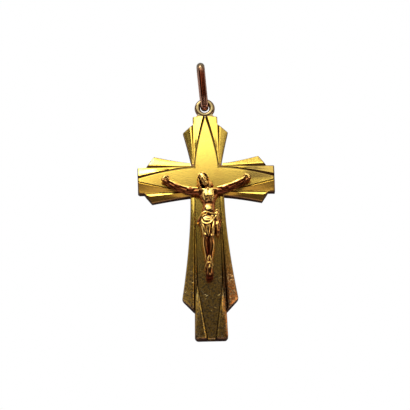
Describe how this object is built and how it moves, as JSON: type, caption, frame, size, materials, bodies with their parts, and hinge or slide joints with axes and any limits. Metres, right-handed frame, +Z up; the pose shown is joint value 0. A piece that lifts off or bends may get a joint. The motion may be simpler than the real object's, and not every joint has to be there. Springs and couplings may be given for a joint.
{
  "type": "crucifix pendant",
  "caption": "Crucifix pendant: struck cross with pleated rays and a soldered eyelet, cast figure, and a long bail for a chain.",
  "frame": {"origin": "centre of the bounding box on the surface the pendant lies on", "axes": "+Y towards the top of the cross and the bail, +Z up out of the face, +X to the right arm as seen from the front"},
  "size_m": [0.0208, 0.0442, 0.003],
  "materials": {
    "yellow_gold": "satin yellow gold",
    "figure_gold": "polished reddish gold",
    "bail_gold": "polished reddish gold"
  },
  "bodies": {
    "root": {"cross": "yellow_gold", "corpus": "figure_gold", "bail": "bail_gold"}
  },
  "joints": []
}
